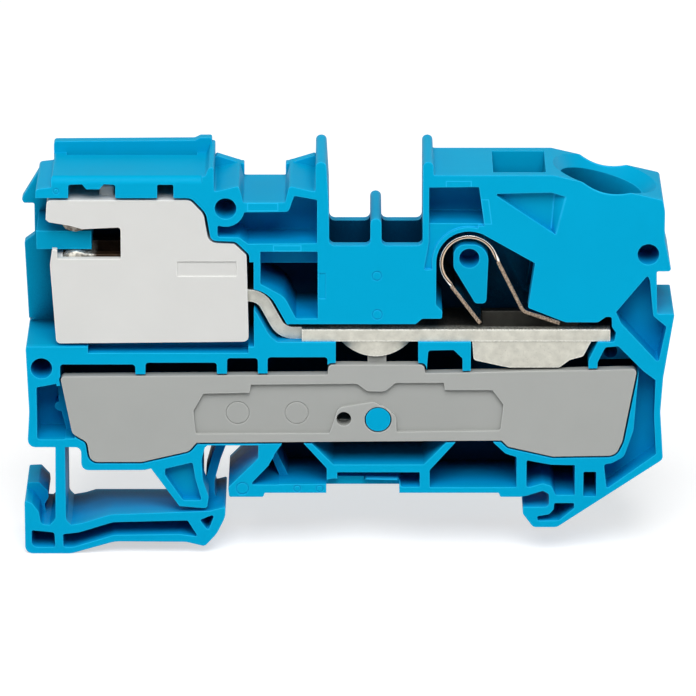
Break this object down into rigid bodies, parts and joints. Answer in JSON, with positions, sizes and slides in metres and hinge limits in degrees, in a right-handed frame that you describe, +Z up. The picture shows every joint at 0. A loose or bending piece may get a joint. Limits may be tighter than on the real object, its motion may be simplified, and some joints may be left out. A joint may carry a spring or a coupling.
{
  "type": "disconnect terminal block",
  "caption": "Rail-mounted disconnect terminal block, open on one side, with a sliding busbar contact, an S-bent current bar, a looped clamp spring, a conductor funnel and jumper slots.",
  "frame": {"origin": "on the plane where the block rests on the mounting rail, above the rail's centre line, in the middle of the block's width", "axes": "+X along the block from the disconnect slide to the conductor clamp, +Y along the rail from the open side to the closed back wall, +Z up away from the rail"},
  "size_m": [0.0685, 0.01, 0.0432],
  "materials": {
    "blue_polyamide": "satin moulded",
    "pale_polyamide": "satin moulded",
    "tinned_contact": "tinned",
    "tinned_copper": "matte tin",
    "spring_steel": "bright rolled strip",
    "grey_polyamide": "satin moulded"
  },
  "bodies": {
    "block": {"housing": "blue_polyamide", "current_bar": "tinned_copper", "clamp_spring": "spring_steel", "base_insert": "grey_polyamide"},
    "slide": {"disconnect_slide": "pale_polyamide", "bridge_contact": "tinned_contact"}
  },
  "joints": [
    {"name": "disconnect_slide_travel", "type": "slide", "parent": "block", "child": "slide", "axis": [-1, 0, 0], "range_m": [0, 0.003]}
  ]
}
